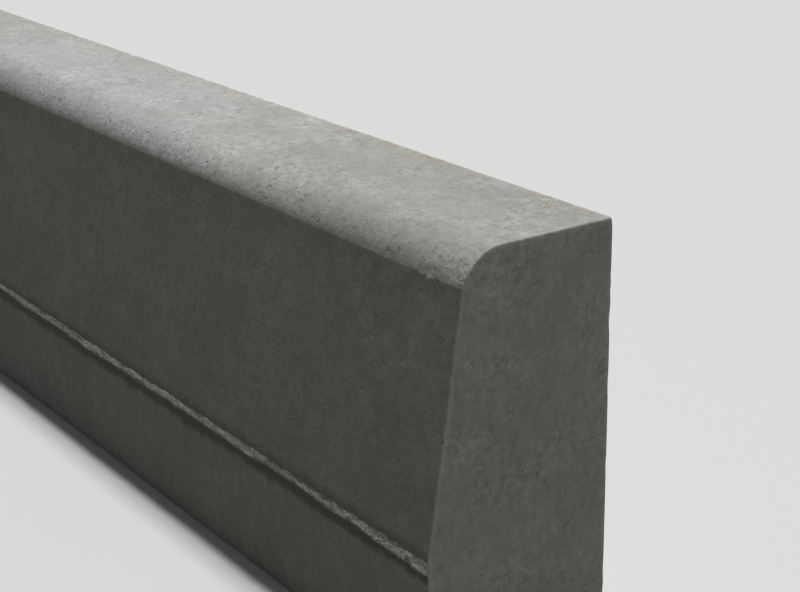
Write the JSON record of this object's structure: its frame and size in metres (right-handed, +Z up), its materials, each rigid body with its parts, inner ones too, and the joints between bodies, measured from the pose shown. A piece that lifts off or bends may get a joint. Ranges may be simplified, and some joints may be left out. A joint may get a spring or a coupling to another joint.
{
  "type": "concrete kerb stone",
  "caption": "Straight precast concrete road kerb stone with a flat top, a rounded front arris, a face that leans back and a plumb foot below it.",
  "frame": {"origin": "middle of the bed face, the rectangle that the stone stands on", "axes": "+X along the stone, +Y from the road face to the back that meets the footway, +Z up"},
  "size_m": [1, 0.15, 0.3],
  "materials": {
    "concrete": "matt grey cast concrete with fine sandy grain and small pits"
  },
  "bodies": {
    "root": {"kerb_stone": "concrete"}
  },
  "joints": []
}
